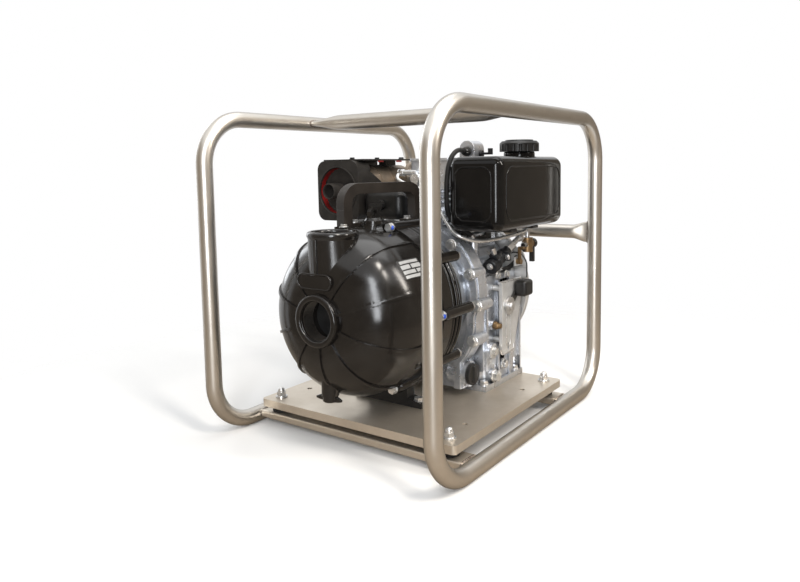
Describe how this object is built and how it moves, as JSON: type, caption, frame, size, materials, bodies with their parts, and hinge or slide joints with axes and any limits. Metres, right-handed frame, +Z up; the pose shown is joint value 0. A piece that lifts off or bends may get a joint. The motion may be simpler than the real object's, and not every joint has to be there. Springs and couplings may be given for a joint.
{
  "type": "diesel chemical transfer pump",
  "caption": "Portable self-priming chemical transfer pump with a domed plastic body, close coupled to an air-cooled diesel engine in a tubular stainless roll frame",
  "frame": {"origin": "on the floor, bottom centre of the roll frame", "axes": "+Z up, +Y along the shaft from the suction port to the recoil starter, +X toward the fuel tank"},
  "size_m": [0.439, 0.5666, 0.5134],
  "materials": {
    "left_hoop": "polished stainless tube",
    "right_hoop": "polished stainless tube",
    "lifting_bar": "polished stainless tube",
    "rear_bar": "polished stainless tube",
    "front_cross_member": "brushed stainless",
    "rear_cross_member": "brushed stainless",
    "base_plate": "brushed stainless",
    "rubber_mounts": "moulded rubber",
    "mount_bolts": "stainless fasteners",
    "front_casing": "glass filled plastic, satin",
    "rear_casing": "glass filled plastic, satin",
    "casing_seal": "moulded rubber",
    "casing_bolts": "stainless fasteners",
    "volute": "glass filled plastic, satin",
    "impeller": "glass filled plastic, satin",
    "seal_seat": "ceramic seal seat",
    "seal_head": "seal bellows",
    "check_valve": "glass filled plastic, satin",
    "priming_plug": "glass filled plastic, satin",
    "drain_plug": "glass filled plastic, satin",
    "carry_handle": "glass filled plastic, satin",
    "pump_foot": "glass filled plastic, satin",
    "engine_adapter": "die cast aluminium",
    "crankcase": "die cast aluminium",
    "gear_cover": "die cast aluminium",
    "flange_bolts": "stainless fasteners",
    "cylinder": "die cast aluminium",
    "cylinder_head": "die cast aluminium",
    "rocker_cover": "die cast aluminium",
    "decompression_lever": "black paint",
    "muffler": "black paint",
    "muffler_guard": "black paint",
    "exhaust_outlet": "red painted trim ring",
    "air_cleaner_case": "moulded plastic",
    "air_cleaner_cover": "moulded plastic",
    "air_cleaner_knob": "moulded plastic",
    "fuel_tank": "gloss black paint",
    "tank_bracket": "black paint",
    "fuel_cap": "moulded plastic",
    "fuel_cock": "yellow passivated metal",
    "cock_lever": "moulded plastic",
    "fuel_hose": "moulded rubber",
    "return_hose": "moulded rubber",
    "injection_pump": "black oxide",
    "injector": "bright steel",
    "injector_pipe": "bright steel",
    "control_plate": "silver painted sheet",
    "speed_lever": "bright steel",
    "stop_lever": "yellow passivated metal",
    "cowl_plate": "silver painted sheet",
    "oil_filler_plug": "moulded plastic",
    "oil_drain_bolt": "stainless fasteners",
    "oil_strainer_cover": "die cast aluminium",
    "fan_housing": "silver painted sheet",
    "recoil_cover": "black paint",
    "starter_reel": "moulded plastic",
    "starter_grip": "moulded plastic",
    "crankshaft": "bright steel",
    "flywheel": "cast iron"
  },
  "bodies": {
    "engine_and_frame": {"left_hoop": "left_hoop", "right_hoop": "right_hoop", "lifting_bar": "lifting_bar", "rear_bar": "rear_bar", "front_cross_member": "front_cross_member", "rear_cross_member": "rear_cross_member", "base_plate": "base_plate", "rubber_mounts": "rubber_mounts", "mount_bolts": "mount_bolts", "front_casing": "front_casing", "rear_casing": "rear_casing", "casing_seal": "casing_seal", "casing_bolts": "casing_bolts", "volute": "volute", "seal_seat": "seal_seat", "carry_handle": "carry_handle", "pump_foot": "pump_foot", "engine_adapter": "engine_adapter", "crankcase": "crankcase", "gear_cover": "gear_cover", "flange_bolts": "flange_bolts", "cylinder": "cylinder", "cylinder_head": "cylinder_head", "rocker_cover": "rocker_cover", "muffler": "muffler", "muffler_guard": "muffler_guard", "exhaust_outlet": "exhaust_outlet", "air_cleaner_case": "air_cleaner_case", "air_cleaner_cover": "air_cleaner_cover", "fuel_tank": "fuel_tank", "tank_bracket": "tank_bracket", "fuel_cock": "fuel_cock", "fuel_hose": "fuel_hose", "return_hose": "return_hose", "injection_pump": "injection_pump", "injector": "injector", "injector_pipe": "injector_pipe", "control_plate": "control_plate", "cowl_plate": "cowl_plate", "oil_drain_bolt": "oil_drain_bolt", "oil_strainer_cover": "oil_strainer_cover", "fan_housing": "fan_housing", "recoil_cover": "recoil_cover"},
    "rotor": {"crankshaft": "crankshaft", "impeller": "impeller", "seal_head": "seal_head", "flywheel": "flywheel"},
    "check_valve": {"check_valve": "check_valve"},
    "priming_plug": {"priming_plug": "priming_plug"},
    "drain_plug": {"drain_plug": "drain_plug"},
    "fuel_cap": {"fuel_cap": "fuel_cap"},
    "oil_filler_plug": {"oil_filler_plug": "oil_filler_plug"},
    "air_cleaner_knob": {"air_cleaner_knob": "air_cleaner_knob"},
    "cock_lever": {"cock_lever": "cock_lever"},
    "speed_lever": {"speed_lever": "speed_lever"},
    "stop_lever": {"stop_lever": "stop_lever"},
    "decompression_lever": {"decompression_lever": "decompression_lever"},
    "starter_reel": {"starter_reel": "starter_reel"},
    "starter_grip": {"starter_grip": "starter_grip"}
  },
  "joints": [
    {"name": "shaft", "type": "hinge", "parent": "engine_and_frame", "child": "rotor", "pos_m": [0, 0, 0.207], "axis": [0, 1, 0], "continuous": true},
    {"name": "check_valve_flap", "type": "hinge", "parent": "engine_and_frame", "child": "check_valve", "pos_m": [0, -0.2182, 0.24235], "axis": [1, 0, 0], "range_deg": [0, 45]},
    {"name": "priming_plug_turn", "type": "hinge", "parent": "engine_and_frame", "child": "priming_plug", "pos_m": [0.018, -0.143, 0.3373], "axis": [0, 0, 1], "range_deg": [0, 1080]},
    {"name": "drain_plug_turn", "type": "hinge", "parent": "engine_and_frame", "child": "drain_plug", "pos_m": [-0.006, -0.222, 0.091], "axis": [0, 0, 1], "range_deg": [-1080, 0]},
    {"name": "fuel_cap_turn", "type": "hinge", "parent": "engine_and_frame", "child": "fuel_cap", "pos_m": [0.118, 0.142, 0.445], "axis": [0, 0, 1], "range_deg": [0, 120]},
    {"name": "oil_filler_turn", "type": "hinge", "parent": "engine_and_frame", "child": "oil_filler_plug", "pos_m": [0.094, 0.011, 0.079], "axis": [1, 0, 0], "range_deg": [0, 1080]},
    {"name": "air_cleaner_knob_turn", "type": "hinge", "parent": "engine_and_frame", "child": "air_cleaner_knob", "pos_m": [-0.051, -0.043, 0.3585], "axis": [0, -1, 0], "range_deg": [0, 1080]},
    {"name": "fuel_cock_turn", "type": "hinge", "parent": "engine_and_frame", "child": "cock_lever", "pos_m": [0.112, 0.2, 0.279], "axis": [0, 1, 0], "range_deg": [-90, 0]},
    {"name": "speed_lever_turn", "type": "hinge", "parent": "engine_and_frame", "child": "speed_lever", "pos_m": [0.122, 0.093, 0.182], "axis": [1, 0, 0], "range_deg": [-24, 10]},
    {"name": "stop_lever_turn", "type": "hinge", "parent": "engine_and_frame", "child": "stop_lever", "pos_m": [0.122, 0.126, 0.255], "axis": [1, 0, 0], "range_deg": [0, 30], "stiffness_Nm_per_rad": 0.05, "springref_deg": -11.46},
    {"name": "decompression_turn", "type": "hinge", "parent": "engine_and_frame", "child": "decompression_lever", "pos_m": [0.055, 0.116, 0.443], "axis": [1, 0, 0], "range_deg": [0, 30], "stiffness_Nm_per_rad": 0.05, "springref_deg": -11.46},
    {"name": "starter_reel_turn", "type": "hinge", "parent": "engine_and_frame", "child": "starter_reel", "pos_m": [0, 0.232, 0.207], "axis": [0, -1, 0], "range_deg": [0, 630], "stiffness_Nm_per_rad": 0.02, "springref_deg": -57.3},
    {"name": "starter_grip_pull", "type": "slide", "parent": "engine_and_frame", "child": "starter_grip", "axis": [-1, 0, 0], "range_m": [0, 0.5]}
  ],
  "couplings": [
    {"joint": "starter_grip_pull", "follows": "starter_reel_turn", "m_per_rad": 0.045}
  ]
}
